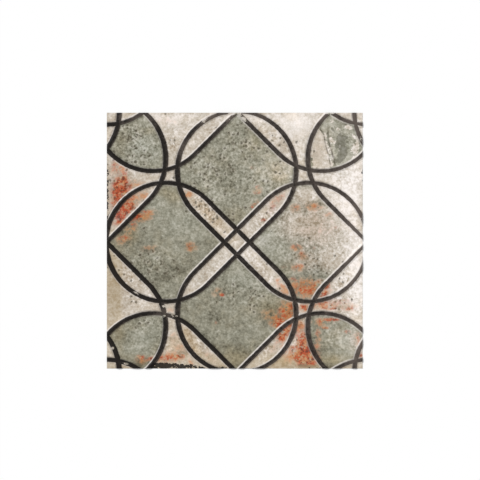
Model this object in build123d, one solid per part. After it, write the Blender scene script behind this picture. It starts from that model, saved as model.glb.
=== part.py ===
"""Pressed tin ceiling tile: one square of thin tinplate with an interlaced bead pattern raised from its face.

The tile lies face up, as it would on a floor. The origin is on the underside, at the middle of the outline,
+Z comes out of the face and +Y points to the top edge of the pattern. The beads are hollow underneath, because
the sheet keeps one gauge all over.
"""

import os
from math import atan, degrees, sqrt, tan

from build123d import *

# Driving dimensions, in millimetres
TILE_SIDE = 603.0  # trimmed outline, which drops into a 24 inch ceiling grid
SHEET_GAUGE = 0.4  # tinplate thickness
PATTERN_PITCH = 615.0  # repeat of the pressed pattern, a little more than the trimmed outline
DIE_OFFSET_X = 5.1  # middle of the pattern from the middle of the outline
DIE_OFFSET_Y = -3.9
LOOP_RADIUS = 140.0  # every loop of the pattern, to the bead's middle line
BAND_SPACING = 42.0  # between the two beads of each diagonal band, middle to middle
BEAD_WIDTH = 17.0  # across the bead's foot, on the face of the sheet
CREST_WIDTH = 6.0  # across the bead's flat top
BEAD_HEIGHT = 2.8  # from the face of the sheet to the bead's flat top

NODE = "tin_tile"
QUARTER_TURNS = (0, 90, 180, 270)

# The bead's flanks lean in at this angle from the sheet. One gauge down, the same section is this much narrower.
FLANK_ANGLE = atan(2 * BEAD_HEIGHT / (BEAD_WIDTH - CREST_WIDTH))
GAUGE_NARROWING = 2 * SHEET_GAUGE * tan(FLANK_ANGLE / 2)
FOOT_IN_SHEET = 2 * SHEET_GAUGE / tan(FLANK_ANGLE)

# Places in the pattern, from its middle. A straight bead at 45 degrees leaves its loop LEAVE from the centre.
HALF_PITCH = PATTERN_PITCH / 2
LEAVE = LOOP_RADIUS / sqrt(2)
LEAF_CENTRE = LOOP_RADIUS * sqrt(2)
LOBE_CENTRE = LEAF_CENTRE - BAND_SPACING / sqrt(2)


def bead_section(foot_width, height):
    """A bead's section, upright on its middle line, with its foot on the underside of the sheet."""
    return Plane.XZ * Trapezoid(foot_width, height, degrees(FLANK_ANGLE), align=(Align.CENTER, Align.MIN))


def straight_bead(section, start, end):
    """A bead along a straight stretch of the pattern."""
    run = Vector(*end) - Vector(*start)
    heading = Vector(0, 1, 0).get_signed_angle(run, Vector(0, 0, 1))
    return Pos(*start) * Rot(0, 0, heading) * extrude(section, run.length, dir=(0, 1, 0))


def loop_bead(section, centre, open_towards):
    """A bead round three quarters of a circle, with the open quarter facing open_towards, in degrees."""
    bead = revolve(Pos(LOOP_RADIUS, 0, 0) * section, Axis.Z, 270)
    return Pos(*centre) * Rot(0, 0, open_towards + 45) * bead


def bead_pattern(section):
    """Every bead of the pattern as a solid ridge of one section, trimmed to the outline."""
    # Left lobe, and the band's bead that runs on from it through the middle of the tile to the lower lobe
    lobe = loop_bead(section, (-LOBE_CENTRE, 0), 0)
    band = straight_bead(section, (LEAVE - LOBE_CENTRE, LEAVE), (LEAVE, LEAVE - LOBE_CENTRE))
    # Upper leaf on the left edge, its stem across the edge's middle, and the leaf of the next repeat above it
    leaf = loop_bead(section, (-HALF_PITCH, LEAF_CENTRE), -90)
    stem = straight_bead(section, (-HALF_PITCH - LEAVE, -LEAVE), (LEAVE - HALF_PITCH, LEAVE))
    next_leaf = loop_bead(section, (-HALF_PITCH, PATTERN_PITCH - LEAF_CENTRE), 90)

    one_side = [lobe, band]
    for ridge in (leaf, stem, next_leaf):
        one_side += [ridge, mirror(ridge, about=Plane.XZ)]
    outline = Box(TILE_SIDE, TILE_SIDE, 4 * (SHEET_GAUGE + BEAD_HEIGHT))
    on_tile = Pos(DIE_OFFSET_X, DIE_OFFSET_Y, 0)
    return [on_tile * Rot(0, 0, turn) * ridge & outline for turn in QUARTER_TURNS for ridge in one_side]


def main():
    sheet = Pos(0, 0, SHEET_GAUGE / 2) * Box(TILE_SIDE, TILE_SIDE, SHEET_GAUGE)
    raised = bead_pattern(bead_section(BEAD_WIDTH + FOOT_IN_SHEET, SHEET_GAUGE + BEAD_HEIGHT))
    hollow = bead_pattern(bead_section(BEAD_WIDTH - GAUGE_NARROWING, BEAD_HEIGHT))
    tile = sheet + raised - hollow
    tile.label = NODE
    os.makedirs("parts", exist_ok=True)
    export_step(tile, f"parts/{NODE}.step")
    print(NODE, "volume", round(tile.volume), "solids", len(tile.solids()), "valid", tile.is_valid)


main()
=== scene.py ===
"""Dresses the pressed tin ceiling tile: its fine sheet, its old worn paint and rust, and a white stage."""

import functools
import math

import bpy
import numpy as np
from bpy.props import FloatProperty, FloatVectorProperty, PointerProperty
from mathutils.geometry import delaunay_2d_cdt
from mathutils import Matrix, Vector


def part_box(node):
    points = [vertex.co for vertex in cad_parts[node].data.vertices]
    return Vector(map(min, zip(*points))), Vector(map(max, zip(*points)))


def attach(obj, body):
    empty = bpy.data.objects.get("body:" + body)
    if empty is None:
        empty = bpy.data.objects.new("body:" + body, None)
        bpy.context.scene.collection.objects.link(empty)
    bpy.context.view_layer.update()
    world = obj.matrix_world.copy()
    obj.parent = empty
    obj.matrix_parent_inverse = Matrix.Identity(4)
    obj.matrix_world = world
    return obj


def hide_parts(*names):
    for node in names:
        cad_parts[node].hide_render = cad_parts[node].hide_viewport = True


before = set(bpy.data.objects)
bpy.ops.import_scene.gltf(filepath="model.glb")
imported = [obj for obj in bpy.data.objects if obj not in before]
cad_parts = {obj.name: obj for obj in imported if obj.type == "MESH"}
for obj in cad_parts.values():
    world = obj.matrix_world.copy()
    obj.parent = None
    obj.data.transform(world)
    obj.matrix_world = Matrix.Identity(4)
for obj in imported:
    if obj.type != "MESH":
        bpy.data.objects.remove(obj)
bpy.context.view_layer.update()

bl_info = {
    "name": "Pressed tin tile",
    "version": (1, 0, 0),
    "blender": (4, 5, 0),
    "location": "3D View > Sidebar > Tin tile",
    "description": "Makes a worn, painted tin ceiling tile and a plain stage for it",
    "category": "Object",
}

MM = 0.001
TILE_LOW, TILE_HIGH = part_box("tin_tile")
TILE_SIDE = TILE_HIGH.x - TILE_LOW.x
TILE_RISE = TILE_HIGH.z - TILE_LOW.z
QUARTER_TURNS = (1, 1j, -1, -1j)
SEED = 24

# The mesh follows each bead at these distances from its middle line.
SECTION_STEPS = [step * MM for step in (0, 2.0, 3.6, 4.8, 5.8, 6.8, 7.8, 8.7, 9.6)]
LOOP_STEP = 4.0 * MM
STRAIGHT_STEP = 6.0 * MM
OUTLINE_STEP = 4.0 * MM
FIELD_STEP = 6.0 * MM
FIELD_JITTER = 1.0 * MM
FIELD_CLEARANCE = 1.5 * MM  # to a bead's section or the outline
MERGE_DISTANCE = 0.15 * MM
SHARP_FOLD = math.radians(50)
SLOPE_STEP = 0.01 * MM
# A narrower mark has a finer mesh, out to MARK_REACH times its half length and breadth.
SMALL_MARK = FIELD_STEP * 1.5
MARK_REACH = 1.6

CREST_POWER = 2.5  # higher for a broader top
# The swell of a field is a sum of waves, of lengths in mm, and is full at SWELL_ROOM from a bead's foot.
SWELL_WAVES = 7
SWELL_WAVE_LENGTHS = (70, 190)
SWELL_WAVE_LIMIT = 2.7
SWELL_ROOM = 45 * MM

# Dust lies along two edges, less of it on the sage fields.
VEIL_WIDTH = 37 * MM
VEIL_BLUR = 5 * MM
VEIL_FADE = 80 * MM
VEIL_LOST_ON_SAGE = 0.6
# A bead's flank gets a painted highlight: painted pale where it faces the key lamp, and half as pale where it
# faces the lower left, out to this distance.
HIGHLIGHT_REACH = 8.2 * MM
HIGHLIGHT_FADE = 1.6 * MM
HIGHLIGHT_ON_LOWER_LEFT = 0.5
FACING_POWER = 4  # higher for fewer beads that count as facing one way
FAR_FROM_BEADS = 50 * MM
SUN_BLEACHING = 0.25  # how much paler the right edge is, and the left edge darker

# Sizes in the paint, in mm: its grain, the edge of a line, how far painted shade reaches past it, and pits
# and crazing with their uneven shift.
GRAIN_SIZES = (3.5, 5.5, 9, 16, 40, 110)
LINE_WAVER = 2.0
LINE_WAVER_MEAN = 1.45  # what grain, light and sun take from half a line's width, on average
LINE_SOFTNESS = 0.7
PAINTED_SHADE_REACH = 5.0
PIT_SPACING = 10
CRAZING_SPACING = 11
UNEVEN_STEP = 6
UNEVEN_SHIFT = 8

# Marks on the face: the place from the tile's middle and half the length and breadth, in mm, the tilt in
# degrees, and the strength.
# Rust has eaten through the paint.
RUST = (
    (-262, 140, 20, 11, 80, 1.05), (-272, 52, 14, 8, 50, 0.85), (-281, 180, 9, 14, 0, 0.55),
    (178, -278, 18, 14, 0, 1.5), (170, -258, 14, 14, 0, 0.9), (-282, 122, 26, 11, 85, 0.6),
    (-279, 96, 24, 11, 70, 0.75), (-250, 128, 14, 8, 20, 0.4), (-280, 168, 16, 12, 0, 0.4),
    (-262, 70, 32, 12, 52, 1.15), (-240, 92, 12, 7, 45, 0.25), (-232, 54, 18, 8, 30, 0.6),
    (-213, 67, 12, 6, 10, 0.55), (-240, 38, 8, 6, 0, 0.5), (-262, 4, 14, 12, 0, 0.42),
    (-206, -21, 10, 6, 0, 0.25), (-106, -14, 9, 8, 0, 0.4), (-28, 2, 4, 3, 0, 0.6),
    (-32, -127, 8, 4, 0, 0.85), (-44, -193, 4, 5, 0, 0.3), (46, 84, 13, 4, 45, 0.55),
    (52, 112, 9, 3, 5, 0.35), (53, 128, 8, 3, 10, 0.3), (41, 172, 5, 4, 0, 0.4), (68, 48, 6, 5, 0, 0.8),
    (90, 78, 20, 10, 45, 0.3), (105, 100, 16, 10, 45, 0.3), (143, 77, 7, 6, 0, 0.35),
    (186, 80, 18, 6, 0, 0.25), (222, 62, 7, 5, 0, 0.25), (238, 31, 4, 4, 0, 0.4), (144, -14, 11, 5, 0, 0.5),
    (158, -31, 7, 7, 0, 0.4), (186, -18, 5, 4, 0, 0.3), (150, -61, 13, 5, 20, 0.45),
    (116, -62, 7, 4, 0, 0.3), (140, -90, 12, 6, 0, 0.55), (165, -114, 32, 17, 0, 0.48),
    (185, -104, 18, 8, 30, 0.5), (212, -127, 13, 7, 20, 0.7), (218, -108, 12, 8, 40, 0.45),
    (260, -141, 15, 4, 0, 0.4), (270, -160, 9, 5, 0, 0.6), (225, -160, 32, 4, 0, 0.5),
    (205, -148, 18, 6, 0, 0.45), (165, -157, 11, 8, 0, 0.8), (130, -163, 11, 22, 0, 0.5),
    (106, -192, 18, 10, 20, 0.75), (119, -216, 26, 11, 55, 0.8), (155, -205, 10, 16, 0, 0.3),
    (162, -242, 9, 16, 0, 0.75), (165, -270, 22, 18, 0, 1.8), (136, -254, 10, 8, 0, 0.7),
    (176, -264, 8, 10, 0, 1.2), (144, -218, 8, 12, 0, 0.5), (225, -186, 22, 4, 0, 0.8),
    (213, -206, 8, 3, 0, 0.7), (200, -192, 6, 9, 0, 0.45), (196, -216, 5, 10, 0, 0.4),
    (190, -250, 6, 12, 0, 0.35), (265, -215, 10, 5, 0, 0.35), (292, -232, 8, 16, 0, 0.4),
    (298, -271, 6, 8, 0, 0.7), (-270, 108, 22, 44, 0, 1.0), (-258, 72, 30, 14, 48, 0.9),
    (160, -268, 26, 16, 0, 1.1), (160, -240, 13, 32, 0, 0.8), (112, -176, 14, 30, 0, 0.5),
    (225, -145, 46, 10, 0, 0.3), (-200, -280, 14, 6, 0, 0.6), (-222, -276, 10, 6, 0, 0.75),
    (-160, -278, 24, 8, 5, 0.7), (-126, -270, 18, 8, 25, 0.5), (-60, 66, 16, 8, -45, 0.12),
)
# Thin orange stain that has run out of the rust into the paint.
STAIN = (
    (-268, 120, 46, 20, 80, 0.8), (-268, 168, 14, 14, 0, 0.7), (195, 30, 80, 60, 0, 0.27),
    (-160, 284, 50, 18, 0, 0.24), (-280, 168, 20, 16, 0, 0.5), (-236, 132, 26, 14, 0, 0.6),
    (-244, 86, 40, 14, 48, 0.8), (-216, 106, 18, 10, 40, 0.75), (-216, 58, 34, 14, 15, 0.7),
    (-246, 28, 22, 14, 40, 0.5), (-262, 2, 22, 18, 0, 0.45), (-200, -20, 24, 10, 0, 0.45),
    (-104, -14, 18, 14, 0, 0.55), (-110, 110, 14, 10, 0, 0.8), (-60, 66, 16, 10, -45, 0.2),
    (-40, -122, 20, 14, 0, 0.4), (48, 86, 18, 8, 45, 0.4), (55, 118, 16, 14, 0, 0.35),
    (100, 96, 30, 14, 45, 0.5), (143, 76, 14, 12, 0, 0.6), (186, 80, 24, 12, 0, 0.65),
    (222, 60, 14, 10, 0, 0.5), (146, -16, 18, 10, 0, 0.6), (160, -36, 12, 14, 0, 0.5),
    (150, -64, 22, 12, 0, 0.55), (168, -112, 44, 26, 0, 0.8), (116, -115, 20, 12, -45, 0.7),
    (124, -166, 18, 26, 0, 1.0), (105, -190, 24, 18, 0, 0.9), (80, -176, 26, 16, 0, 0.45),
    (214, -124, 20, 10, 30, 0.7), (220, -107, 16, 10, 40, 0.6), (166, -158, 16, 12, 0, 0.9),
    (210, -152, 44, 12, 0, 0.7), (266, -156, 26, 14, 0, 0.5), (118, -218, 30, 16, 55, 0.9),
    (155, -205, 14, 22, 0, 0.75), (160, -245, 18, 30, 0, 0.8), (150, -272, 40, 18, 0, 0.9),
    (205, -194, 30, 12, 0, 0.5), (196, -235, 12, 34, 0, 0.4), (288, -232, 14, 22, 0, 0.4),
    (-220, -282, 18, 10, 0, 0.5), (-150, -274, 40, 16, 5, 0.7), (-142, -230, 14, 18, 0, 0.4),
    (-130, -254, 22, 14, 0, 0.45), (-62, -272, 30, 12, -48, 0.35), (-150, -162, 14, 10, 0, 0.4),
    (-140, 284, 18, 16, 0, 0.2), (200, 213, 16, 34, 10, 0.22), (95, -252, 26, 14, 40, 0.35),
    (102, -95, 12, 12, -45, 0.5), (-269, 42, 10, 10, 0, 0.8), (114, -251, 12, 10, 40, 0.5),
    (-103, -286, 12, 9.5, 0, 0.5),
)
# The sage top coat has peeled off the cream ground in flakes.
PEELED = (
    (199, 213, 50, 20, -79, 1.8), (206, 180, 22, 14, 0, 1.5), (229, 205, 30, 3, -76, 0.9),
    (214, 245, 16, 3, -80, 0.8), (228, 237, 9, 5, -60, 1.1), (236, 232, 7, 4, 30, 0.8),
    (229, 281, 6, 6, 0, 0.8), (244, 262, 6, 7, 20, 0.6), (248, 222, 3, 4, 0, 0.8), (246, 212, 4, 3, 0, 0.8),
    (268, 268, 12, 8, -20, 0.8), (280, 246, 14, 6, -60, 0.6), (289, 228, 26, 6, 90, 0.8),
    (276, 213, 10, 5, 40, 0.6), (284, 216, 9, 22, 0, 0.8), (284, 196, 10, 8, 0, 0.7),
    (290, -238, 24, 7, 90, 0.8),
)
# The sage top coat has worn thin, and the cream ground shows through.
WORN = (
    (225, 250, 70, 60, 0, 0.2), (282, -235, 30, 14, 90, 0.6), (275, 0, 40, 44, 0, 1.3),
    (215, 34, 75, 55, 0, 1.3), (170, 105, 44, 24, 0, 1.1), (150, 40, 50, 45, 0, 0.95),
    (235, -40, 45, 35, 0, 1.2), (180, -45, 50, 30, 0, 0.75), (70, 0, 34, 20, 0, 0.3),
    (110, 165, 36, 36, 0, 0.35), (240, -215, 30, 30, 0, 0.2),
)
# The sage top coat is still thick and dark.
DEEP = (
    (250, 232, 22, 13, 80, 1.2), (254, 205, 24, 12, 70, 1.1), (240, 188, 12, 8, 0, 0.8),
    (262, 240, 10, 12, 0, 0.7), (232, 262, 12, 6, -40, 0.5), (-165, -86, 20, 10, 0, 0.5),
    (-134, -66, 18, 9, 0, 0.4), (-150, -76, 14, 8, 0, 0.4), (172, -295, 30, 5, 0, 0.9),
    (-186, -62, 12, 7, 0, 0.4), (-12, 165, 12, 26, 0, 0.5), (0, 122, 14, 20, 0, 0.4),
    (8, 250, 16, 10, 0, 0.45), (85, -160, 18, 10, 0, 0.45), (-205, 258, 14, 6, 0, 0.4),
    (-250, 246, 10, 8, 0, 0.4),
)
# The line paint is rubbed thin and brown.
RUBBED = (
    (240, 200, 130, 130, 0, 0.25), (0, 270, 120, 30, 0, 0.3), (285, 275, 30, 40, 0, 1.2),
    (-170, -170, 30, 14, 0, 0.8), (-268, 288, 12, 14, 0, 0.7), (-193, 280, 14, 14, 0, 0.7),
    (-128, 218, 10, 24, -20, 0.8), (290, -20, 30, 110, 0, 1.5), (288, -240, 26, 34, 0, 0.8),
    (277, -277, 16, 14, 0, 0.8), (-240, 280, 24, 14, 20, 0.6), (-225, 290, 44, 18, 0, 0.9),
    (0, 294, 120, 16, 0, 0.9), (-8, 290, 18, 8, 45, 1.7), (-60, 290, 24, 10, 30, 1.4),
    (205, 290, 30, 16, 0, 0.9),
)
# The paint is rough and blotched.
ROUGH = (
    (262, 150, 36, 36, 0, 0.35), (262, -100, 44, 22, 45, 0.7), (265, -150, 40, 26, 0, 0.7),
    (75, 60, 40, 16, 45, 0.8), (150, -230, 30, 60, 0, 0.8), (-265, 120, 36, 60, 0, 0.6),
    (-245, 80, 36, 18, 45, 0.7), (-80, -255, 40, 16, -45, 0.6), (80, -255, 40, 16, 45, 0.5),
    (-140, -262, 40, 34, 0, 0.5), (60, -70, 44, 16, -45, 0.5), (-225, 226, 60, 50, 0, 0.6),
    (235, 226, 60, 50, 0, 0.3), (10, 164, 110, 100, 0, 0.35), (-247, -86, 34, 18, -45, 0.5),
    (-225, -210, 40, 24, 0, 0.15), (235, -234, 50, 40, 0, 0.2), (190, 20, 90, 80, 0, 0.45),
    (-60, -69, 50, 16, 45, 0.25), (85, 250, 40, 16, -45, 0.5), (-60, 60, 50, 18, -45, 0.8),
)
# The paint is smooth and even.
SMOOTH = (
    (150, 262, 60, 34, 0, 0.4), (262, 80, 20, 40, 0, 0.15), (200, 215, 16, 40, 10, 0.35),
)
# Small dark pits lie close together.
PITS = (
    (-239, 249, 20, 18, 0, 0.9), (-225, 205, 45, 30, 0, 0.5), (-147, 236, 16, 28, 0, 0.6),
    (-58, 156, 48, 48, 0, 0.55), (-68, 75, 44, 22, -45, 1.0), (43, -128, 32, 12, 0, 0.5),
    (90, 150, 40, 40, 0, 0.5), (205, -62, 44, 26, 0, 0.3), (10, 220, 40, 50, 0, 0.45),
    (-200, -196, 40, 16, 0, 0.3), (85, 55, 30, 16, 45, 0.4), (85, 250, 40, 14, -45, 0.5),
    (-210, -60, 60, 40, 0, 0.35), (30, -120, 80, 30, 0, 0.35), (240, -143, 44, 18, 0, 0.8),
    (-240, -140, 20, 16, 0, 0.4), (155, -215, 16, 40, 0, 0.4), (-250, -80, 30, 16, -45, 0.4),
    (215, -100, 50, 16, 45, 0.3), (-262, 75, 30, 14, 48, 0.3), (-278, 120, 16, 40, 0, 0.3),
)
# The paint is paler, or where the strength is negative darker, than the rest of its coat.
SHADE = (
    (-222, 224, 24, 18, 0, 0.45), (215, 150, 14, 10, 0, 0.5), (222, 112, 14, 14, 0, 0.4),
    (-150, -135, 16, 8, 0, 0.4), (78, 195, 14, 10, -45, 0.4), (-143, 145, 14, 8, 0, 0.4),
    (280, 60, 14, 30, 0, 0.3), (149, 240, 16, 12, 0, -0.4), (222, -55, 18, 12, 0, -0.4),
    (260, -36, 14, 10, 0, -0.4), (-183, -204, 10, 14, 0, 0.5), (-195, -187, 10, 8, 0, 0.4),
    (177, -39, 10, 8, 0, -0.5), (-268, 42, 10, 8, 0, -0.5), (-268, 200, 10, 8, 0, -0.5),
    (251, -265, 10, 8, 0, -0.4), (-44, 34, 10, 10, 0, -0.5), (57, 221, 12, 10, -45, 0.4),
    (76, 141, 12, 10, 0, 0.4), (-61, -296, 12, 6, 0, 0.6), (-230, 273, 10, 8, 0, 0.4),
    (-205, 296, 14, 6, 0, 0.6), (-221, -289, 14, 8, 0, -0.7), (-186, -90, 14, 10, 0, 0.4),
    (230, -298, 90, 7, 0, -1.0), (-30, -297, 60, 6, 0, -0.6), (-256, -297, 40, 6, 0, -0.8),
    (95, -256, 30, 14, 40, -0.2), (-91, -258, 14, 8, -48, -0.5), (187, 225, 8, 24, 0, -0.5),
    (165, -41, 22, 12, 0, -0.6), (90, 23, 20, 14, 0, 0.7), (-96, 294, 14, 8, 0, 0.6),
    (175, -290, 24, 8, 0, -0.8), (-272, 200, 10, 10, 0, -0.6), (5, 164, 100, 100, 0, 0.15),
    (260, 152, 14, 12, 0, -0.6), (-187, 215, 14, 24, 0, 0.3), (-213, 284, 16, 12, 0, 0.4),
    (-266, 226, 14, 20, 0, -0.2), (-225, 226, 60, 50, 0, 0.3), (-60, -69, 40, 14, 45, -0.2),
    (70, -69, 40, 14, -45, -0.3), (-253, 246, 10, 8, 0, -0.4), (-205, 258, 16, 8, 0, -0.35),
    (0, 288, 16, 12, 0, 0.4), (8, 256, 26, 16, 0, -0.4), (-12, 160, 24, 30, 0, -0.5),
    (-28, 192, 16, 12, 0, -0.35), (-115, 155, 18, 24, 0, 0.25), (-72, 178, 24, 16, 0, 0.45),
    (40, 200, 12, 12, 0, -0.35), (110, 160, 36, 34, 0, 0.6), (65, 165, 24, 20, 0, 0.3),
    (0, 112, 18, 26, 0, -0.35), (-30, 104, 18, 22, 0, 0.3), (5, 52, 14, 14, 0, -0.3),
    # The mark at (12, -11) is painted shade, darkening the flank that faces the key lamp in the middle square
    (12, -11, 14, 5, 45, -1.2), (5, -172, 100, 100, 0, -0.15), (-192, 85, 26, 22, 0, 0.4),
    (-150, 60, 30, 26, 0, 0.25), (-112, 32, 40, 24, 0, 0.2), (-250, 15, 26, 22, 0, -0.35),
    (-160, -20, 34, 16, 0, 0.25), (-62, -5, 26, 16, 0, -0.25), (-205, -60, 34, 24, 0, -0.25),
    (-168, -88, 22, 14, 0, -0.8), (-132, -68, 18, 10, 0, -0.6), (62, 0, 30, 20, 0, 0.4),
    (175, 30, 75, 60, 0, -0.7), (170, 95, 40, 20, 0, -0.25), (200, -62, 50, 26, 0, -0.5),
    (280, -5, 34, 34, 0, 0.6), (160, -36, 14, 12, 0, -0.4), (115, -65, 20, 12, 0, -0.4),
    (185, -72, 36, 20, 0, -0.1), (105, -20, 30, 20, 0, 0.3), (8, -82, 34, 28, 0, 0.3),
    (60, -130, 26, 16, 0, 0.1), (85, -160, 24, 14, 0, -0.55), (-50, -180, 26, 14, 0, -0.35),
    (0, -165, 34, 16, 0, 0.1), (-110, -160, 20, 24, 0, -0.2), (0, -258, 44, 30, 0, -0.45),
    (-212, -226, 26, 24, 0, 0.5), (-236, -252, 18, 14, 0, 0.4), (-266, -222, 10, 30, 0, -0.15),
    (240, -215, 28, 18, 0, 0.1), (-233, -140, 16, 12, 0, 0.4), (55, -152, 16, 12, 0, 0.4),
    (235, -240, 26, 14, 0, 0.3), (215, -266, 22, 10, 0, -0.2), (-247, -86, 40, 16, -45, -0.2),
    (-79, 248, 30, 12, 45, -0.2), (235, -234, 50, 50, 0, -0.25), (258, -230, 24, 26, 0, 0.5),
    (203, -262, 22, 14, 0, -0.4), (200, -212, 12, 30, 0, -0.3), (252, 224, 30, 40, 0, 0.35),
    (253, 196, 14, 14, 0, 0.3), (200, 213, 14, 30, 0, -0.45), (-180, 290, 26, 12, 0, 0.8),
    (-140, 284, 26, 16, 0, 0.6), (-145, 215, 14, 20, 0, -0.3), (-40, 290, 14, 8, 0, 0.5),
    (60, 284, 34, 12, 0, 0.5), (115, 225, 16, 12, -60, -0.7), (150, 280, 44, 26, 0, 0.9),
    (150, 235, 16, 24, 0, 0.45), (280, 150, 26, 36, 0, 0.9), (240, 140, 24, 20, 0, 0.5),
    (262, 80, 30, 44, 0, 1.1), (285, -55, 20, 28, 0, 1.0), (245, -95, 26, 14, 45, 0.5),
    (290, -140, 18, 40, 0, 1.0), (-80, 80, 28, 14, -45, -0.45), (-42, 48, 24, 14, -45, -0.35),
    (-40, -50, 50, 14, 45, 0.1), (-105, -115, 14, 10, 0, -0.3), (30, -32, 18, 14, 0, 0.4),
    (95, -92, 18, 14, 0, 0.4), (-285, -60, 16, 44, 0, -0.45), (-225, -105, 12, 10, 0, -0.35),
    (-203, -124, 14, 8, -40, 0.4), (-287, -130, 18, 56, 0, -0.75), (-142, -228, 14, 16, 0, -0.35),
    (-130, -256, 26, 16, 0, -0.35), (-115, -215, 22, 12, -60, -0.5), (-80, -252, 32, 14, -48, -0.3),
    (80, -258, 30, 14, 40, -0.35), (110, -287, 26, 10, 0, -0.6), (150, -297, 80, 6, 0, -0.9),
)
# The paint has yellowed, or where the strength is negative gone bluish.
YELLOWED = (
    (-266, 226, 16, 22, 0, 0.3), (-60, -69, 50, 16, 45, -0.25), (-91, -258, 20, 12, -48, 0.7),
    (-150, -253, 16, 14, 0, 0.5), (195, 30, 70, 50, 0, -0.3), (-205, 258, 20, 10, 0, 0.4),
    (-222, 222, 30, 22, 0, -0.5), (-190, 210, 16, 26, 0, -0.4), (40, 225, 24, 20, 0, 0.6),
    (110, 160, 40, 36, 0, 0.4), (-150, 108, 28, 18, 0, 0.6), (-250, 10, 30, 26, 0, 0.6),
    (-192, 85, 26, 24, 0, -0.5), (-130, 45, 44, 30, 0, -0.4), (-60, 60, 64, 16, -45, 0.6),
    (-212, -228, 26, 26, 0, -0.2), (-268, -220, 12, 34, 0, 0.4), (-186, -254, 12, 22, 0, 0.4),
    (5, -270, 44, 26, 0, 0.6), (10, -95, 40, 24, 0, -0.4), (90, -160, 44, 30, 0, 0.6),
    (235, -232, 28, 22, 0, 0.1), (225, -282, 30, 10, 0, 0.9), (255, 230, 14, 28, 0, -0.5),
    (80, 0, 40, 28, 0, -0.3), (180, -78, 40, 18, 0, -0.4), (110, -286, 40, 12, 0, 0.8),
    (-130, -240, 24, 30, 0, 0.5), (-115, -215, 24, 14, -60, 0.5), (5, 60, 18, 20, 0, 0.4),
)
# Two long scratches lie side by side in the upper right leaf.
SCRATCHES = (
    (205, 258, 11, 1.6, -60, 1.0), (212, 238, 13, 1.6, -81, 1.0), (218, 212, 14, 1.6, -73, 1.0),
    (224, 187, 12, 1.6, -80, 0.9), (220, 251, 12, 2.0, -88, 1.1), (223, 228, 12, 2.2, -75, 1.2),
    (230, 204, 14, 2.2, -75, 1.2), (235, 184, 8, 2.0, -73, 1.1),
)
# The dark line paint has chipped off the beads.
CHIPS = (
    (-72, 284, 10, 6, 40, 1.0), (-10, 290, 14, 5, 45, 0.4), (18, 290, 17, 4.5, -41, 1.0),
    (0, 300, 16, 4, 0, 1.1), (224, 300, 12, 3, 0, 0.8), (-289, -253, 6, 5, 0, 0.7),
    (-70, -285, 24, 8, -35, 0.25), (-141, -175, 14, 8, -20, 0.6), (-233, -123, 12, 3, -35, 0.55),
    (-167, -154, 5, 4, 0, 0.7), (-258, -289, 12, 4, -15, 0.6), (-167, -178, 4, 4, 0, 0.8),
    (267, 288, 16, 6, -20, 0.5), (-270, 284, 10, 7, 0, 0.35), (-175, -161, 24, 5, 5, 0.35),
    (292, 58, 24, 9, 110, 0.4), (150, 170, 8, 6, 0, 0.4), (297, 238, 34, 8, 90, 0.35),
    (-222, 150, 8, 5, 0, 0.35), (-216, -300, 14, 5, -20, 0.4),
)
# Bare dark metal shows along the outline.
BARE_EDGE = (
    (-300, 110, 110, 3, 90, 0.75), (-172, -296, 32, 8, 0, 1.3), (-150, -293, 16, 6, 0, 1.0),
    (-120, -297, 30, 6, 0, 1.2), (-90, -300, 26, 4, 0, 0.9), (-28, -300, 24, 4, 0, 0.75),
    (300, 150, 40, 4, 90, 0.5), (-300, -60, 90, 3, 90, 0.5), (60, -301, 60, 3, 0, 0.5),
    (200, -300, 90, 4, 0, 0.42),
)
# Marks with an edge, marks that fade out, and marks that add up where they meet.
SHARP_MARKS = {
    "rust": RUST, "stain": STAIN, "worn": WORN, "peeled": PEELED, "deep": DEEP, "chips": CHIPS,
    "edge": BARE_EDGE, "scratch": SCRATCHES,
}
SOFT_MARKS = {"pits": PITS, "rough": ROUGH, "rubbed": RUBBED}
SIGNED_MARKS = {"shade": SHADE, "yellowed": YELLOWED}


def linear(hex_colour):
    """A linear colour from an sRGB hex value."""
    channels = [int(hex_colour[i:i + 2], 16) / 255 for i in (0, 2, 4)]
    return tuple(c / 12.92 if c <= 0.04045 else ((c + 0.055) / 1.055) ** 2.4 for c in channels)


def colour_property(name, description, hex_colour):
    """A colour that a user can change."""
    return FloatVectorProperty(
        name=name, description=description, default=linear(hex_colour), size=3, min=0, max=1, subtype="COLOR"
    )


def length_property(name, description, default, least=0):
    """A length that a user can change, in metres."""
    return FloatProperty(
        name=name, description=description, default=default, min=least, unit="LENGTH", precision=4
    )


def angle_property(name, description, degrees):
    """An angle that a user can change."""
    return FloatProperty(name=name, description=description, default=math.radians(degrees), subtype="ANGLE")


class SheetSizes(bpy.types.PropertyGroup):
    """Sizes of the pressed sheet and its bead pattern."""

    gauge: length_property("Gauge", "Thickness of the tinplate", 0.4 * MM)
    pattern_pitch: length_property("Pattern pitch", "Repeat of the pressed pattern", 615 * MM)
    die_offset_x: length_property("Die offset X", "Pattern from the outline's middle", 5.1 * MM, -TILE_SIDE)
    die_offset_y: length_property("Die offset Y", "Pattern from the outline's middle", -3.9 * MM, -TILE_SIDE)
    loop_radius: length_property("Loop radius", "Every loop, to the bead's middle line", 140 * MM)
    band_spacing: length_property("Band spacing", "Between the two beads of a diagonal band", 42 * MM)
    bead_width: length_property("Bead width", "Across the bead, from one soft foot to the other", 18 * MM)
    line_width: length_property("Line width", "Across the dark line on the crest of a level bead", 9.7 * MM)
    line_spread: length_property("Line spread", "How much wider the line is on an upright bead", 2.2 * MM)
    field_swell: length_property("Field swell", "How far the fields between the beads belly out", 0.9 * MM)


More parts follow.
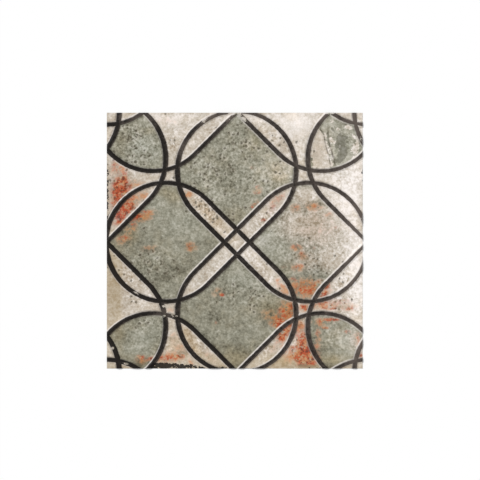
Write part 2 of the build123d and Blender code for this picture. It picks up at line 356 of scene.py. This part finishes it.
class PaintColours(bpy.types.PropertyGroup):
    """Colours of the paint, the rust and the bare metal."""

    cream: colour_property("Cream", "Ground coat", "CEC4B6")
    # Bleached cream also paints the highlight on the bead flanks that face the key lamp
    white: colour_property("Bleached cream", "Ground coat where light has bleached it", "FFF7F1")
    beige: colour_property("Beige", "Ground coat where dirt has darkened it", "A1907A")
    sage: colour_property("Sage", "Top coat of the fields", "979483")
    pale_sage: colour_property("Pale sage", "Top coat where it has faded", "CAC6B8")
    dark_sage: colour_property("Dark sage", "Top coat where dirt has darkened it", "565244")
    yellow_tint: colour_property("Yellow tint", "What yellowing does to both coats", "F6E2BC")
    blue_tint: colour_property("Blue tint", "What chalking does to both coats", "E6EEF2")
    # Line black also paints shade beside the beads, on their flanks that face left and up
    line: colour_property("Line black", "Paint on the crests, and bare metal at the edges", "15110F")
    # Worn line also paints shading on the side of each line away from the key lamp
    worn_and_shaded_line: colour_property("Worn line", "Line paint where it is rubbed", "5A514B")
    dust: colour_property("Dust", "Dust caked along two edges and on the rust", "BBA985")
    pit: colour_property("Pit", "Pits, cracks and scratches in the paint", "4A4434")
    stain: colour_property("Stain", "Thin orange stain", "CB8C4C")
    red_rust: colour_property("Red rust", "Thick rust", "B94E30")
    dark_rust: colour_property("Dark rust", "Oldest rust", "6A2A1C")
    orange_rust: colour_property("Orange rust", "Fresh rust", "C4845A")
    tin: colour_property("Tin", "Bare back of the sheet", "8F8D88")


class StageSettings(bpy.types.PropertyGroup):
    """Light, floor and camera."""

    key_share: FloatProperty(
        name="Key share", description="Share of the light that the key lamp gives", default=0.6, min=0, max=1
    )
    key_height: angle_property("Key height", "Height of the key lamp over the horizon", 42)
    key_heading: angle_property("Key heading", "Side that the key lamp stands on, from +X towards +Y", 135)
    key_spread: angle_property("Key spread", "Width of the key lamp as the tile sees it", 9)
    floor: colour_property("Floor", "Plain pale floor", "E7E7E7")
    lens: FloatProperty(name="Lens", description="Focal length of the camera, in mm", default=150, min=10)
    view_width: length_property("View width", "Width of floor that the picture shows", 1131.8 * MM)
    view_x: length_property("View X", "Middle of the picture from the tile's middle", 12.43 * MM, -TILE_SIDE)
    view_y: length_property("View Y", "Middle of the picture from the tile's middle", 1.49 * MM, -TILE_SIDE)


def bead_runs(sizes):
    """The beads' middle lines, as straight runs (start, end) and three-quarter loops (centre, way it opens).

    Places on the face are complex numbers, x + y i, from the tile's middle.
    """
    leave = sizes.loop_radius / math.sqrt(2)
    leaf = 2 * leave
    lobe = leaf - sizes.band_spacing / math.sqrt(2)
    half = sizes.pattern_pitch / 2
    straights = [(complex(leave - lobe, leave), complex(leave, leave - lobe))]
    loops = [(complex(-lobe, 0), 1)]
    for side in (1, -1):
        straights.append((complex(-half - leave, -side * leave), complex(leave - half, side * leave)))
        loops.append((complex(-half, side * leaf), -1j * side))
        loops.append((complex(-half, side * (sizes.pattern_pitch - leaf)), 1j * side))
    middle = complex(sizes.die_offset_x, sizes.die_offset_y)
    straights = [
        (middle + turn * start, middle + turn * end) for turn in QUARTER_TURNS for start, end in straights
    ]
    loops = [(middle + turn * centre, turn * opening) for turn in QUARTER_TURNS for centre, opening in loops]
    return straights, loops


def bead_distance(points, sizes):
    """How far each point is from the nearest bead's middle line, and how upright that bead is (0 to 1)."""
    straights, loops = bead_runs(sizes)
    nearest = np.full(points.shape, np.inf)
    upright = np.zeros(points.shape)
    for start, end in straights:
        along = np.clip(((points - start) / (end - start)).real, 0, 1)
        from_run = abs(points - start - along * (end - start))
        upright = np.where(from_run < nearest, ((end - start).imag / abs(end - start)) ** 2, upright)
        nearest = np.minimum(nearest, from_run)
    for centre, opening in loops:
        arm = points - centre
        on_loop = abs(np.angle(arm / opening)) > math.pi / 4
        from_loop = np.where(on_loop, abs(abs(arm) - sizes.loop_radius), np.inf)
        upright = np.where(from_loop < nearest, np.cos(np.angle(arm)) ** 2, upright)
        nearest = np.minimum(nearest, from_loop)
    return nearest, upright


def veil_share(points):
    """1 where dust lies, along the lower edge and up the left one to its middle, and 0 elsewhere."""
    left, low = (
        np.clip((VEIL_WIDTH - TILE_SIDE / 2 - part) / VEIL_BLUR, 0, 1) for part in (points.real, points.imag)
    )
    return np.maximum(left * np.clip(0.5 - points.imag / VEIL_FADE, 0, 1), low)


def inside_drop(points, centre, opening, radius):
    """Whether each point is inside a loop or the pointed corner that its two straight beads close."""
    arm = (points - centre) / opening
    in_corner = (abs(np.angle(arm)) < math.pi / 4) & (arm.real + abs(arm.imag) < radius * math.sqrt(2))
    return (abs(arm) < radius) | in_corner


def sage_fields(points, sizes):
    """1 on the fields with a sage top coat, the four diamonds and the four corner leaves, and 0 elsewhere."""
    radius = sizes.loop_radius
    leaf = radius * math.sqrt(2)
    lobe = leaf - sizes.band_spacing / math.sqrt(2)
    half = sizes.pattern_pitch / 2
    over = points - complex(sizes.die_offset_x, sizes.die_offset_y)
    across, up = abs(over.real), abs(over.imag)
    folded = np.maximum(across, up) + 1j * np.minimum(across, up)
    in_lobe = inside_drop(folded, lobe, -1, radius)
    in_next_lobe = inside_drop(folded, 1j * lobe, -1j, radius)
    in_leaf = inside_drop(folded, complex(half, leaf), -1j, radius)
    diamond = in_lobe & ~in_next_lobe & ~in_leaf
    in_both = (abs(folded - complex(half, leaf)) < radius) & (abs(folded - complex(leaf, half)) < radius)
    far = 2 * half - leaf
    in_next_tile = (abs(folded - complex(half, far)) < radius) | (abs(folded - complex(far, half)) < radius)
    return np.where(diamond | (in_both & ~in_next_tile), 1.0, 0.0)


def mark_strength(points, marks, together):
    """How strongly each point lies in the marks, where together says how two marks at one place count."""
    strength = np.zeros(points.shape)
    for x, y, long, broad, tilt, most in marks:
        offset = (points - complex(x, y) * MM) * np.exp(-1j * math.radians(tilt)) / MM
        reach = (offset.real / long) ** 2 + (offset.imag / broad) ** 2
        strength = together(strength, most * np.exp(-reach))
    return strength


def bead_rise(distance, sizes):
    """Height of a bead at a distance from its middle line: round on top, with a soft foot."""
    share = 1 - np.clip(distance / (sizes.bead_width / 2), 0, 1) ** CREST_POWER
    return (TILE_RISE - sizes.gauge) * share**2


def clip_to_outline(line, half):
    """The edges of a line of points that lie on the tile, as pairs of points, cut at the outline."""
    inside = np.maximum(abs(line.real), abs(line.imag)) <= half
    edges = []
    for a, b, a_in, b_in in zip(line, line[1:], inside, inside[1:]):
        if not a_in and not b_in:
            continue
        if not a_in:
            a, b = b, a
        if a_in != b_in:
            run = b - a
            ways = [(half - part) / step if step > 0 else (-half - part) / step
                    for part, step in ((a.real, run.real), (a.imag, run.imag)) if step]
            b = a + run * min(ways)
        edges.append((a, b))
    return edges


def section_lines(sizes):
    """Lines that run along every bead at each step of its cross-section."""
    straights, loops = bead_runs(sizes)
    offsets = sorted({side * step for step in SECTION_STEPS for side in (1, -1)})
    lines = []
    for start, end in straights:
        across = 1j * (end - start) / abs(end - start)
        count = math.ceil(abs(end - start) / STRAIGHT_STEP) + 1
        run = start + (end - start) * np.linspace(0, 1, count)
        lines += [run + across * offset for offset in offsets]
    turn = 1.5 * math.pi
    count = math.ceil(turn * sizes.loop_radius / LOOP_STEP) + 1
    sweep = np.exp(1j * (math.pi / 4 + turn * np.linspace(0, 1, count)))
    for centre, opening in loops:
        lines += [centre + opening * sweep * (sizes.loop_radius + offset) for offset in offsets]
    return lines


def field_points(sizes):
    """Points between the beads, closer together around small marks."""
    half = TILE_SIDE / 2
    steps = np.arange(-half + FIELD_STEP / 2, half, FIELD_STEP)
    grid = (steps[None, :] + 1j * steps[:, None]).ravel()
    rng = np.random.default_rng(SEED)
    groups = [grid + (rng.random(len(grid)) + 1j * rng.random(len(grid))) * FIELD_JITTER]
    for marks in SHARP_MARKS.values():
        for x, y, long, broad, tilt, _ in marks:
            if broad * MM < SMALL_MARK:
                along = long * np.linspace(-MARK_REACH, MARK_REACH, 11)
                across = broad * np.linspace(-MARK_REACH, MARK_REACH, 9)
                patch = (along[None, :] + 1j * across[:, None]).ravel() * np.exp(1j * math.radians(tilt))
                groups.append((patch + complex(x, y)) * MM)
    points = np.concatenate(groups)
    clear = bead_distance(points, sizes)[0] > SECTION_STEPS[-1] + FIELD_CLEARANCE
    within = np.maximum(abs(points.real), abs(points.imag)) < half - FIELD_CLEARANCE
    return points[clear & within]


def triangulate(sizes):
    """Points and triangles of the flat tile, with edges along the beads and the outline."""
    half = TILE_SIDE / 2
    edges = []
    for line in section_lines(sizes):
        edges += clip_to_outline(line, half)
    count = math.ceil(TILE_SIDE / OUTLINE_STEP)
    side = half * (-1 - 1j) + TILE_SIDE * np.linspace(0, 1, count + 1)
    for turn in QUARTER_TURNS:
        edges += list(zip(side * turn, side[1:] * turn))
    ends = np.array(edges).ravel()
    points = np.concatenate([ends, field_points(sizes)])
    pairs = [(i, i + 1) for i in range(0, len(ends), 2)]
    flat = [(point.real, point.imag) for point in points.tolist()]
    verts, _, faces, *_ = delaunay_2d_cdt(flat, pairs, [], 0, MERGE_DISTANCE)
    return np.array([complex(*vert) for vert in verts]), np.array(faces)


def field_swell(points, distance, sizes):
    """How far the thin sheet bellies out between the beads: uneven, and nothing at their feet."""
    rng = np.random.default_rng(SEED)
    waves = np.zeros(points.shape)
    for _ in range(SWELL_WAVES):
        length = rng.uniform(*SWELL_WAVE_LENGTHS) * MM
        heading = np.exp(1j * rng.uniform(0, 2 * math.pi))
        waves += np.sin((points * heading).real * 2 * math.pi / length + rng.uniform(0, 2 * math.pi))
    uneven = 0.5 + 0.18 * np.clip(waves, -SWELL_WAVE_LIMIT, SWELL_WAVE_LIMIT)
    room = np.clip((distance - sizes.bead_width / 2) / SWELL_ROOM, 0, 1)
    return sizes.field_swell * room**2 * (3 - 2 * room) * uneven


def paint_masks(points, sizes):
    """What the paint follows at each point: the strength of every kind of mark, the sheet's shape, and where
    highlight and shade are painted on the beads.
    """
    masks = {}
    for group, together in ((SHARP_MARKS, np.maximum), (SOFT_MARKS, np.maximum), (SIGNED_MARKS, np.add)):
        for name, marks in group.items():
            masks[name] = mark_strength(points, marks, together)
    distance, masks["upright"] = bead_distance(points, sizes)
    masks["bead"] = np.minimum(distance, FAR_FROM_BEADS) / MM
    ahead, above = (bead_distance(points + way * SLOPE_STEP, sizes)[0] for way in (1, 1j))
    facing_x, facing_y = (ahead - distance) / SLOPE_STEP, (above - distance) / SLOPE_STEP
    towards_key = (facing_y - facing_x) / math.sqrt(2)
    towards_left = -(facing_y + facing_x) / math.sqrt(2)
    to_left, to_top, to_key, to_lower_left = (
        np.clip(way, 0, 1) ** FACING_POWER for way in (-facing_x, facing_y, towards_key, towards_left)
    )
    # Painted shade: dark line paint spread past the line on the flanks that face left and up
    masks["painted_flank_shade"] = to_left + to_top
    # Painted shading: the line paint turns greyer towards the bead's side away from the key lamp
    masks["painted_line_shading"] = np.clip(-towards_key, 0, 1) * masks["bead"]
    # Painted highlight: pale paint on the flanks that face the key lamp, weaker on those that face the lower
    # left
    pale = to_key + HIGHLIGHT_ON_LOWER_LEFT * to_lower_left
    masks["painted_highlight"] = pale * np.clip((HIGHLIGHT_REACH - distance) / HIGHLIGHT_FADE, 0, 1)
    smooth = mark_strength(points, SMOOTH, np.maximum)
    masks["rough"] = np.maximum(masks["rough"], masks["pits"]) - smooth
    masks["sage"] = sage_fields(points, sizes)
    masks["veil"] = veil_share(points) * (1 - VEIL_LOST_ON_SAGE * masks["sage"])
    masks["sunny"] = 0.5 + points.real / TILE_SIDE
    masks["shade"] += SUN_BLEACHING * (2 * masks["sunny"] - 1)
    return masks


def pressed_sheet_mesh(sizes):
    """The whole sheet as one closed mesh, with the masks that its paint needs."""
    points, faces = triangulate(sizes)
    distance = bead_distance(points, sizes)[0]
    slope = (bead_rise(distance + SLOPE_STEP, sizes) - bead_rise(distance, sizes)) / SLOPE_STEP
    top = TILE_LOW.z + sizes.gauge + bead_rise(distance, sizes) + field_swell(points, distance, sizes)
    back = np.maximum(top - sizes.gauge * np.sqrt(1 + slope**2), TILE_LOW.z)

    # An edge that only one triangle uses is on the outline, where the face and the back are joined
    count = len(points)
    used = dict.fromkeys(zip(faces.ravel().tolist(), np.roll(faces, -1, axis=1).ravel().tolist()))
    rim = [(b, a, a + count, b + count) for a, b in used if (b, a) not in used]
    polygons = faces.tolist() + (faces[:, ::-1] + count).tolist() + rim
    coords = [(p.real, p.imag, z) for height in (top, back) for p, z in zip(points.tolist(), height.tolist())]

    mesh = bpy.data.meshes.new("pressed_sheet")
    mesh.from_pydata(coords, [], polygons)
    mesh.polygons.foreach_set("material_index", [0] * len(faces) + [1] * (len(faces) + len(rim)))
    mesh.polygons.foreach_set("use_smooth", [True] * len(polygons))
    mesh.set_sharp_from_angle(angle=SHARP_FOLD)
    for name, values in paint_masks(points, sizes).items():
        layer = mesh.attributes.new(name, "FLOAT", "POINT")
        layer.data.foreach_set("value", np.tile(values, 2).astype(np.float32))
    if mesh.validate():
        raise RuntimeError("the sheet's mesh has bad faces")
    return mesh


def add_node(tree, kind, inputs=None, **settings):
    """Adds a shader node with its settings, sets or links its inputs, and returns its first output in use."""
    node = tree.nodes.new("ShaderNode" + kind)
    for name, value in settings.items():
        setattr(node, name, value)
    for socket, value in (inputs or {}).items():
        if isinstance(value, bpy.types.NodeSocket):
            tree.links.new(value, node.inputs[socket])
        else:
            node.inputs[socket].default_value = value
    return next((output for output in node.outputs if output.enabled), None)


def node_adder(owner):
    """Clears the nodes of a material or a world, and returns add_node for its tree."""
    owner.use_nodes = True
    owner.node_tree.nodes.clear()
    return functools.partial(add_node, owner.node_tree)


def weighted_sum(add, start, sources, weights):
    """start with sources added to it, each times its weight. The keys of weights pick the sources."""
    total = start
    for key, weight in weights.items():
        total = add("Math", {0: sources[key], 1: weight, 2: total}, operation="MULTIPLY_ADD")
    return total


def per_mm(size):
    """Scale of a pattern whose features are size millimetres across."""
    return 1 / (size * MM)


def opaque(colour):
    """A property's colour with full alpha."""
    return (*colour, 1)


def aged_paint(colours, sizes, masks):
    """Oil paint on tinplate, brushed on in two coats with the beads lined in black, then decades of wear.

    Chalky and mottled, dirty and bleached in clouds, pitted, crazed and peeling, with rust and orange stain.
    It is matt, a little less so along the beads, and duller still on the rust. Its colour also holds painted
    light:
    a highlight on the bead flanks that face the key lamp, and shade beside the beads and across the lines.
    """
    material = bpy.data.materials.new("aged_oil_paint_on_tinplate")
    add = node_adder(material)
    place = add("TexCoord").node.outputs["Object"]
    mask = {name: add("Attribute", attribute_name=name).node.outputs["Fac"] for name in masks}
    grain = {}
    hue_grain = {}
    for size in GRAIN_SIZES:
        spots = {"Vector": place, "Scale": per_mm(size), "Detail": 2.0, "Roughness": 0.6}
        grain[size] = add("TexNoise", spots)
        hue_grain[size] = add("SeparateColor", {0: grain[size].node.outputs["Color"]}).node.outputs["Green"]

    # A mark's ragged outline: its strength, made uneven by coarse and fine grain, against a threshold
    ragged = {}
    for name, swings, low, high in (
        ("rust", {16: 3.0, 9: 2.4, 5.5: 1.0}, 0.02, 0.75), ("stain", {16: 2.5, 9: 2.5, 5.5: 1.5}, 0.1, 0.9),
        ("deep", {16: 2.0, 9: 1.2}, 0.44, 0.5), ("worn", {16: 0.9, 5.5: 1.0}, 0.0, 0.95),
        ("peeled", {9: 2.0, 3.5: 1.0}, 0.4, 0.55), ("chips", {9: 2.5, 3.5: 2.0}, 0.4, 0.55),
        ("edge", {9: 3.0, 3.5: 2.0}, 0.4, 0.55),
    ):
        uneven = weighted_sum(add, 1 - sum(swings.values()) / 2, grain, swings)
        strength = add("Math", {0: uneven, 1: mask[name]}, operation="MULTIPLY")
        threshold = {"Value": strength, "From Min": low, "From Max": high}
        ragged[name] = add("MapRange", threshold, interpolation_type="SMOOTHSTEP")

    # Clouds of paler and darker, and of yellower and bluer paint
    clouds = {}
    full_swing = 1.35
    for name, source, swings, rough_swings in (
        ("shade", grain, {3.5: 1.2, 5.5: 2.0, 9: 1.8, 16: 1.7, 40: 1.5, 110: 0.8},
         {5.5: 3.0, 9: 4.0, 16: 2.5}),
        ("yellowed", hue_grain, {16: 0.6, 40: 0.8, 110: 0.6}, {16: 0.4}),
    ):
        rougher = weighted_sum(add, -sum(rough_swings.values()) / 2, source, rough_swings)
        total = add("Math", {0: rougher, 1: mask["rough"], 2: mask[name]}, operation="MULTIPLY_ADD")
        total = weighted_sum(add, total, source, swings)
        even = sum(swings.values()) / 2
        ends = (even + full_swing, even - full_swing)
        clouds[name] = [add("MapRange", {"Value": total, "From Min": even, "From Max": end}) for end in ends]
    paler, darker = clouds["shade"]
    yellower, bluer = clouds["yellowed"]

    # The ground coat, and the top coat where it is left
    coats = []
    for plain, pale, dark in (
        (colours.cream, colours.white, colours.beige), (colours.sage, colours.pale_sage, colours.dark_sage),
    ):
        coat = add("Mix", {0: paler, 6: opaque(plain), 7: opaque(pale)}, data_type="RGBA")
        coats.append(add("Mix", {0: darker, 6: coat, 7: opaque(dark)}, data_type="RGBA"))
    gone = add("Math", {0: ragged["worn"], 1: ragged["peeled"]}, operation="MAXIMUM")
    left_on = add("Math", {0: 1.0, 1: gone}, operation="SUBTRACT")
    coated = add("Math", {0: mask["sage"], 1: left_on}, operation="MULTIPLY")
    paint = add("Mix", {0: coated, 6: coats[0], 7: coats[1]}, data_type="RGBA")
    for share, tint in ((yellower, colours.yellow_tint), (bluer, colours.blue_tint)):
        paint = add("Mix", {0: share, 6: paint, 7: opaque(tint)}, data_type="RGBA", blend_type="MULTIPLY")

    # Pits: an uneven dot with a pale ring in some cells, in more of them where the marks say
    uneven = add("TexNoise", {"Vector": place, "Scale": per_mm(UNEVEN_STEP)}).node.outputs["Color"]
    shift = (UNEVEN_SHIFT * MM,) * 3
    shifted = add("VectorMath", {0: uneven, 1: shift, 2: place}, operation="MULTIPLY_ADD")
    spaced = {"Vector": shifted, "Scale": per_mm(PIT_SPACING)}
    cells = add("TexVoronoi", spaced, voronoi_dimensions="2D").node.outputs
    chance = add("MapRange", {"Value": mask["pits"], "To Min": 0.008, "To Max": 0.8})
    drawn = add("SeparateColor", {0: cells["Color"]})
    has_pit = add("Math", {0: drawn, 1: chance}, operation="LESS_THAN")
    rings = {}
    for name, outer, inner in (("pit", 0.42, 0.1), ("ring", 0.8, 0.4)):
        radius = {"Value": cells["Distance"], "From Min": outer, "From Max": inner}
        dot = add("MapRange", radius, interpolation_type="SMOOTHSTEP")
        rings[name] = add("Math", {0: dot, 1: has_pit}, operation="MULTIPLY")

    # Crazing: broken lines between the cells of a net, where the paint is pitted
    spaced = {"Vector": shifted, "Scale": per_mm(CRAZING_SPACING)}
    net = add("TexVoronoi", spaced, voronoi_dimensions="2D", feature="DISTANCE_TO_EDGE")
    crack = add("MapRange", {"Value": net, "From Min": 0.13, "From Max": 0.02})
    broken = add("MapRange", {"Value": grain[16], "From Min": 0.42, "From Max": 0.6})
    for share in (broken, mask["pits"]):
        crack = add("Math", {0: crack, 1: share}, operation="MULTIPLY")

    # Rust in grains of red, orange, dark red and dust, and stain with some of the rust in it
    rust = opaque(colours.red_rust)
    for grains, low, high, tone in (
        (hue_grain[16], 0.5, 0.36, colours.orange_rust), (hue_grain[9], 0.5, 0.64, colours.dark_rust),
        (hue_grain[9], 0.45, 0.28, colours.dust), (grain[5.5], 0.54, 0.78, colours.dark_rust),
        (hue_grain[5.5], 0.43, 0.23, colours.dust),
    ):
        share = add("MapRange", {"Value": grains, "From Min": low, "From Max": high})
        rust = add("Mix", {0: share, 6: rust, 7: opaque(tone)}, data_type="RGBA")
    stain = add("Mix", {0: 0.3, 6: opaque(colours.stain), 7: rust}, data_type="RGBA")

    # The crests are lined in black, wider on upright beads, with an edge that wavers as a brush does
    reach = weighted_sum(add, mask["bead"], grain, {9: LINE_WAVER})
    spread = sizes.line_spread / 2 / MM
    # The line narrows under the painted highlight and widens a little under the painted shade
    narrowing = {"upright": -spread, "painted_flank_shade": -0.1, "painted_highlight": 0.8, "rubbed": 0.8, "sunny": 0.65}
    reach = weighted_sum(add, reach, mask, narrowing)
    half_line = sizes.line_width / 2 / MM + LINE_WAVER_MEAN
    edges = []
    for outer, inner in ((LINE_SOFTNESS, -LINE_SOFTNESS), (PAINTED_SHADE_REACH, 0)):
        ends = {"Value": reach, "From Min": half_line + outer, "From Max": half_line + inner}
        edges.append(add("MapRange", ends, interpolation_type="SMOOTHSTEP"))
    lined, painted_shade = edges
    # Painted shade: the dark paint past the line's edge, only on the flanks that face left and up
    painted_shade = add("Math", {0: painted_shade, 1: mask["painted_flank_shade"]}, operation="MULTIPLY")
    unchipped = add("Math", {0: 1.0, 1: ragged["chips"]}, operation="SUBTRACT")
    lined = add("Math", {0: lined, 1: unchipped}, operation="MULTIPLY")
    # The line is rubbed brown where the marks and the right side say, and is also painted greyer, as shading,
    # on its side away from the key lamp
    rub_and_line_shading = weighted_sum(add, mask["rubbed"], grain, {5.5: 1.2, 16: 1.0})
    rub_and_line_shading = weighted_sum(add, rub_and_line_shading, mask, {"painted_line_shading": 0.18, "sunny": 0.8})
    rubbed = add("MapRange", {"Value": rub_and_line_shading, "From Min": 1.48, "From Max": 2.58})
    line = add("Mix", {0: rubbed, 6: opaque(colours.line), 7: opaque(colours.worn_and_shaded_line)}, data_type="RGBA")

    # No rust or stain where the highlight is painted, on the flanks that face the key lamp at the upper left
    outside_highlight = add("Math", {0: 1.0, 1: mask["painted_highlight"]}, operation="SUBTRACT")
    for name in ("rust", "stain"):
        ragged[name] = add("Math", {0: ragged[name], 1: outside_highlight}, operation="MULTIPLY")

    # What lies over the coats, from the lowest: its colour, where it lies, and how much it hides at most
    for cover, share, most in (
        (opaque(colours.dark_sage), ragged["deep"], 0.58), (coats[0], rings["ring"], 0.15),
        (opaque(colours.pit), rings["pit"], 0.75), (opaque(colours.pit), crack, 0.4),
        (opaque(colours.pit), mask["scratch"], 0.8), (opaque(colours.dust), mask["veil"], 0.3),
        (stain, ragged["stain"], 0.8), (rust, ragged["rust"], 0.9),
        # The bleached cream cover is a painted highlight on the flanks that face the key lamp; the line black
        # cover beside it is painted shade on the flanks that face left and up
        (opaque(colours.white), mask["painted_highlight"], 0.75), (opaque(colours.line), painted_shade, 0.7),
        (line, lined, 0.98), (opaque(colours.line), ragged["edge"], 0.95),
    ):
        share = add("Math", {0: share, 1: most}, operation="MULTIPLY")
        paint = add("Mix", {0: share, 6: paint, 7: cover}, data_type="RGBA")

    # A little smoother along the beads, and dull on rust
    foot = sizes.bead_width / 2 / MM
    along_beads = {
        "Value": mask["bead"], "From Min": foot - 2, "From Max": foot, "To Min": 0.5, "To Max": 0.62,
    }
    roughness = add("Mix", {0: ragged["rust"], 2: add("MapRange", along_beads), 3: 0.9})

    # Relief: grain, pits and cracks sunk into the paint, coats that peel and crusts of rust
    relief = weighted_sum(add, grain[5.5], grain, {3.5: 0.5, 9: 0.8})
    damage = {"pit": rings["pit"], "crack": crack, "gone": gone, "rust": ragged["rust"]}
    relief = weighted_sum(add, relief, damage, {"pit": -4.0, "crack": -1.0, "gone": -0.6, "rust": 0.6})
    bump = add("Bump", {"Height": relief, "Strength": 0.6, "Distance": 0.4 * MM})
    skin = {"Base Color": paint, "Roughness": roughness, "Normal": bump, "Specular IOR Level": 0.08}
    add("OutputMaterial", {"Surface": add("BsdfPrincipled", skin)})
    return material


def dull_tinplate(colours):
    """Bare hot-dipped tinplate, dulled by age: grey, a little cloudy, with rust freckles through pinholes."""
    material = bpy.data.materials.new("dull_tinplate")
    add = node_adder(material)
    place = add("TexCoord").node.outputs["Object"]
    cloud = add("TexNoise", {"Vector": place, "Scale": per_mm(35), "Detail": 4.0})
    freckle = add("TexNoise", {"Vector": place, "Scale": per_mm(7), "Detail": 3.0})
    rusty = add("MapRange", {"Value": freckle, "From Min": 0.64, "From Max": 0.72})
    clouded = {"Value": cloud, "From Min": 0.3, "From Max": 0.7, "To Min": 0.75, "To Max": 1.15}
    shade = add("MapRange", clouded)
    tin = add("Mix", {0: 1.0, 6: opaque(colours.tin), 7: shade}, data_type="RGBA", blend_type="MULTIPLY")
    colour = add("Mix", {0: rusty, 6: tin, 7: opaque(colours.dark_rust)}, data_type="RGBA")
    metallic = add("Math", {0: 1.0, 1: rusty}, operation="SUBTRACT")
    roughness = add("MapRange", {"Value": cloud, "To Min": 0.35, "To Max": 0.65})
    skin = {"Base Color": colour, "Metallic": metallic, "Roughness": roughness}
    add("OutputMaterial", {"Surface": add("BsdfPrincipled", skin)})
    return material


def seen_rays(add):
    """1 for rays that the eye follows, reflected or through glass too, and 0 for rays that give light."""
    rays = add("LightPath").node.outputs
    seen = rays["Is Camera Ray"]
    for kind in ("Is Glossy Ray", "Is Transmission Ray"):
        seen = add("Math", {0: seen, 1: rays[kind]}, operation="MAXIMUM")
    return seen


def studio_floor(colour):
    """Smooth matt board. What it lacks to white is added for the eye alone, so that lights nothing."""
    material = bpy.data.materials.new("white_matt_board")
    add = node_adder(material)
    board = add("BsdfDiffuse", {"Color": opaque(colour)})
    missing = tuple(1 - channel for channel in colour)
    lift = add("Emission", {"Color": opaque(missing), "Strength": seen_rays(add)})
    add("OutputMaterial", {"Surface": add("AddShader", {0: board, 1: lift})})
    return material


class TINTILE_OT_make_sheet(bpy.types.Operator):
    """Make the pressed sheet with its worn paint, in place of the plain solid"""

    bl_idname = "tintile.make_sheet"
    bl_label = "Make pressed sheet"

    def execute(self, context):
        sizes, colours = context.scene.tin_tile_sizes, context.scene.tin_tile_colours
        sheet = bpy.data.objects.new("pressed_sheet", pressed_sheet_mesh(sizes))
        context.scene.collection.objects.link(sheet)
        masks = [layer.name for layer in sheet.data.attributes if layer.data_type == "FLOAT"]
        sheet.data.materials.append(aged_paint(colours, sizes, masks))
        sheet.data.materials.append(dull_tinplate(colours))
        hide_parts("tin_tile")
        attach(sheet, "root")
        return {"FINISHED"}


class TINTILE_OT_make_stage(bpy.types.Operator):
    """Make the floor, the light and the camera that looks straight down on the tile"""

    bl_idname = "tintile.make_stage"
    bl_label = "Make stage"

    def execute(self, context):
        scene, stage = context.scene, context.scene.tin_tile_stage
        scene.view_settings.view_transform = "Standard"

        reach, drop = 8.0, 0.2 * MM
        corners = [(-reach, -reach), (reach, -reach), (reach, reach), (-reach, reach)]
        mesh = bpy.data.meshes.new("floor")
        mesh.from_pydata([(x, y, TILE_LOW.z - drop) for x, y in corners], [], [(0, 1, 2, 3)])
        mesh.materials.append(studio_floor(stage.floor))
        floor = bpy.data.objects.new("floor", mesh)
        scene.collection.objects.link(floor)

        # The key lamp and the sky together light a flat face so that its colour renders as it is written
        key = bpy.data.lights.new("key", "SUN")
        key.angle = stage.key_spread
        key.energy = stage.key_share * math.pi / math.sin(stage.key_height)
        lamp = bpy.data.objects.new("key", key)
        lamp.rotation_euler = (0, math.pi / 2 - stage.key_height, stage.key_heading)
        scene.collection.objects.link(lamp)

        world = bpy.data.worlds.new("soft_sky")
        add = node_adder(world)
        fill = 1 - stage.key_share
        strength = add("MapRange", {"Value": seen_rays(add), "To Min": fill})
        sky = add("Background", {"Color": (1, 1, 1, 1), "Strength": strength})
        add("OutputWorld", {"Surface": sky})
        scene.world = world

        lens = bpy.data.cameras.new("overhead")
        lens.lens = stage.lens
        camera = bpy.data.objects.new("overhead", lens)
        distance = stage.view_width * stage.lens / lens.sensor_width
        camera.location = (stage.view_x, stage.view_y, TILE_LOW.z + scene.tin_tile_sizes.gauge + distance)
        lens.clip_end = 4 * distance
        scene.collection.objects.link(camera)
        scene.camera = camera
        return {"FINISHED"}


class TINTILE_PT_panel(bpy.types.Panel):
    """Lists what the tile is made of"""

    bl_label = "Tin tile"
    bl_idname = "TINTILE_PT_panel"
    bl_space_type = "VIEW_3D"
    bl_region_type = "UI"
    bl_category = "Tin tile"

    def draw(self, context):
        layout = self.layout
        for name, group in GROUPS.items():
            box = layout.box()
            for setting in group.__annotations__:
                box.prop(getattr(context.scene, name), setting)
        layout.operator(TINTILE_OT_make_sheet.bl_idname)
        layout.operator(TINTILE_OT_make_stage.bl_idname)


GROUPS = {"tin_tile_sizes": SheetSizes, "tin_tile_colours": PaintColours, "tin_tile_stage": StageSettings}
CLASSES = (*GROUPS.values(), TINTILE_OT_make_sheet, TINTILE_OT_make_stage, TINTILE_PT_panel)


def register():
    for cls in CLASSES:
        bpy.utils.register_class(cls)
    for name, group in GROUPS.items():
        setattr(bpy.types.Scene, name, PointerProperty(type=group))


def unregister():
    for name in GROUPS:
        delattr(bpy.types.Scene, name)
    for cls in reversed(CLASSES):
        bpy.utils.unregister_class(cls)


def main():
    register()
    bpy.ops.tintile.make_sheet()
    bpy.ops.tintile.make_stage()


if __name__ == "__main__":
    main()
